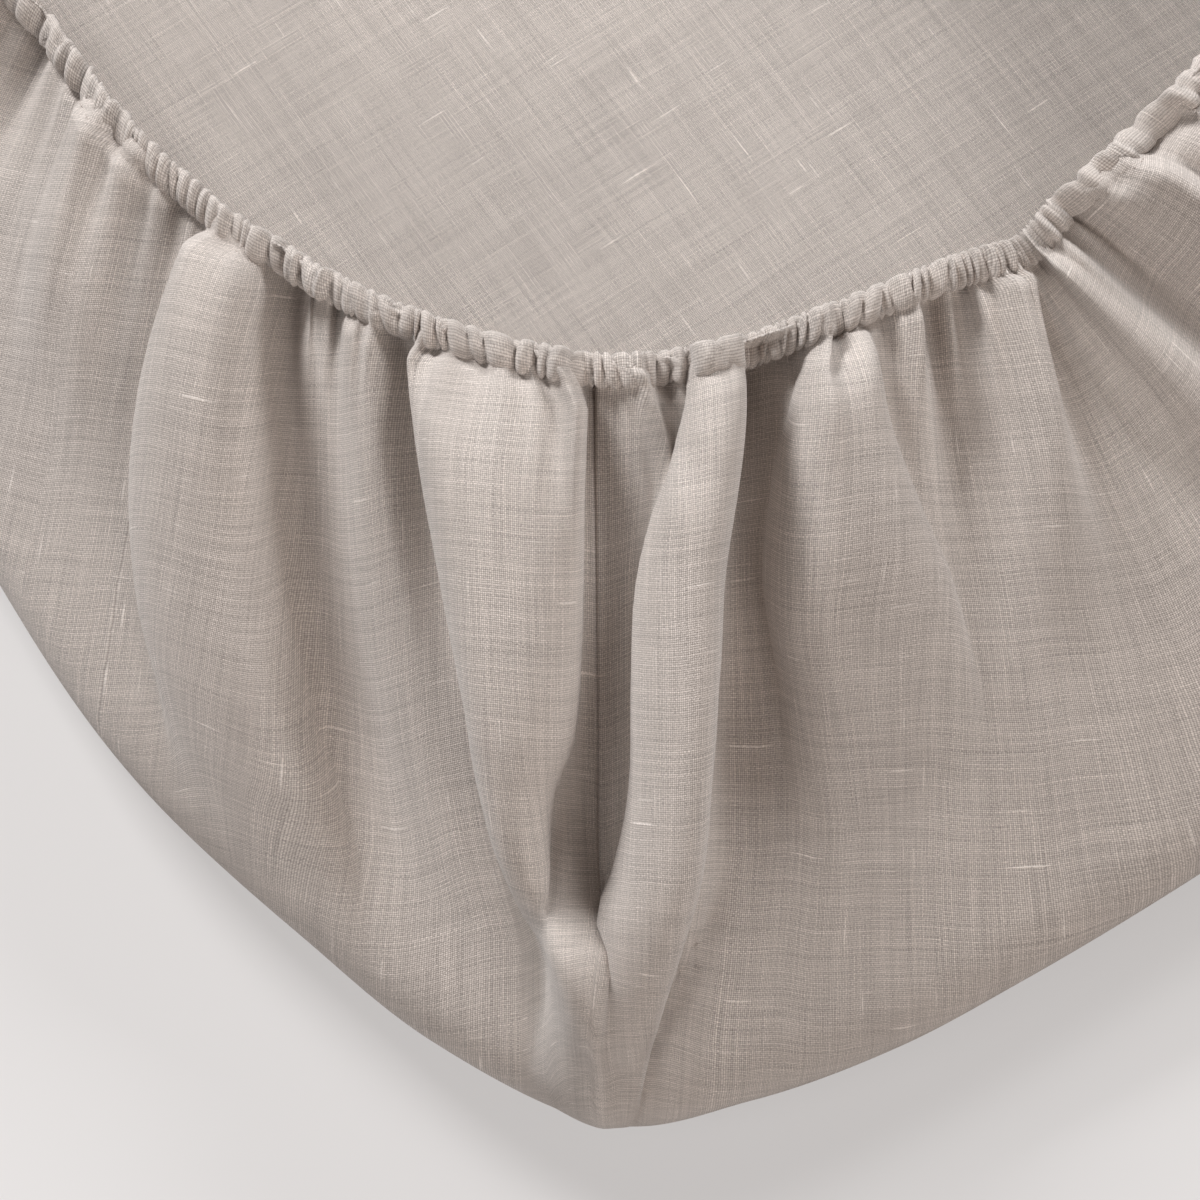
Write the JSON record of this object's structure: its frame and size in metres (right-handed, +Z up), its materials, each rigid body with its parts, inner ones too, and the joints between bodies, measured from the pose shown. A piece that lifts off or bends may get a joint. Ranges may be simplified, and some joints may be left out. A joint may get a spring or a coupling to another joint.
{
  "type": "crib fitted sheet",
  "caption": "Linen fitted sheet for a crib mattress, lying upside down: flat panel, skirt with sewn corners and an elastic-gathered hem.",
  "frame": {"origin": "middle of the underside, on the surface that the panel lies on", "axes": "+X along the long sides, +Y along the short sides, +Z up out of the open mouth"},
  "size_m": [1.217, 0.7117, 0.1548],
  "materials": {
    "linen": "matt plain-weave linen, stone beige, unbleached and undyed in look"
  },
  "bodies": {
    "root": {"sheet_cloth": "linen"}
  },
  "joints": []
}
